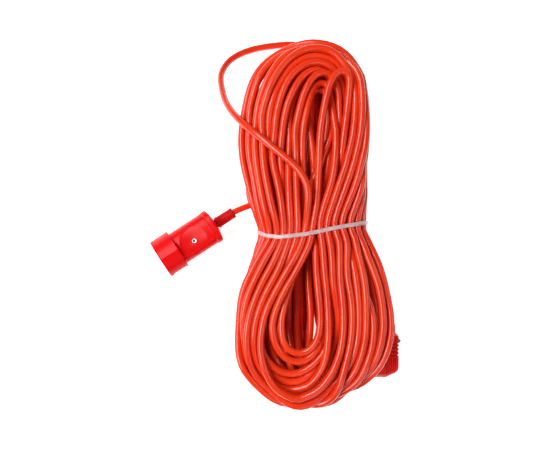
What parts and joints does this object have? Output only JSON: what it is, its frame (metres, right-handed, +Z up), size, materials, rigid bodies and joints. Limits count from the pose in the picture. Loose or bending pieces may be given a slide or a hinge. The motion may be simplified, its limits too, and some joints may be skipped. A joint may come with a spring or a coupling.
{
  "type": "extension cord",
  "caption": "Long round mains cord wound in a hank and tied at its waist, with a round two-pin socket on one end and a right-angle plug on the other.",
  "frame": {"origin": "on the surface that the hank lies on, below the middle of the box round the hank, socket and plug", "axes": "+Y along the hank's long axis, towards the end where the loose turn goes under; +X across it, from the socket's side to the plug's side; +Z up from the surface"},
  "size_m": [0.2629, 0.3825, 0.0839],
  "materials": {
    "cord": "smooth glossy orange-red PVC",
    "red_plastic": "glossy moulded red plastic",
    "sleeve": "satin dark red soft PVC",
    "tie_nylon": "milky translucent nylon",
    "insulator": "off-white thermoset",
    "brass": "plain brass",
    "steel": "zinc-plated steel",
    "core_brown": "brown core insulation",
    "core_blue": "blue core insulation"
  },
  "bodies": {
    "hank": {"hank_coil": "cord", "loose_loop": "cord", "plug_lead": "cord", "cable_tie": "tie_nylon", "plug_base": "red_plastic", "plug_cover": "red_plastic", "plug_pin_live": "brass", "plug_pin_neutral": "brass", "plug_terminal_screw_live": "steel", "plug_terminal_screw_neutral": "steel", "plug_closing_screw_1": "steel", "plug_closing_screw_2": "steel", "plug_closing_nut_1": "steel", "plug_closing_nut_2": "steel", "plug_cord_clamp": "insulator", "plug_clamp_screw_1": "steel", "plug_clamp_screw_2": "steel", "plug_core_live": "core_brown", "plug_core_neutral": "core_blue"},
    "socket": {"socket_lead": "cord", "socket_upper_shell": "red_plastic", "socket_lower_shell": "red_plastic", "socket_contact_carrier": "insulator", "socket_contact_live": "brass", "socket_contact_neutral": "brass", "socket_terminal_screw_live": "steel", "socket_terminal_screw_neutral": "steel", "socket_closing_screw": "steel", "socket_closing_nut": "steel", "socket_cord_clamp": "insulator", "socket_clamp_screw_live": "steel", "socket_clamp_screw_neutral": "steel", "socket_bend_sleeve": "sleeve", "socket_core_live": "core_brown", "socket_core_neutral": "core_blue"}
  },
  "joints": [
    {"name": "socket_swing", "type": "hinge", "parent": "hank", "child": "socket", "pos_m": [-0.0195, 0.0232, 0.0126], "axis": [0, 0, 1], "range_deg": [-25, 25]}
  ]
}
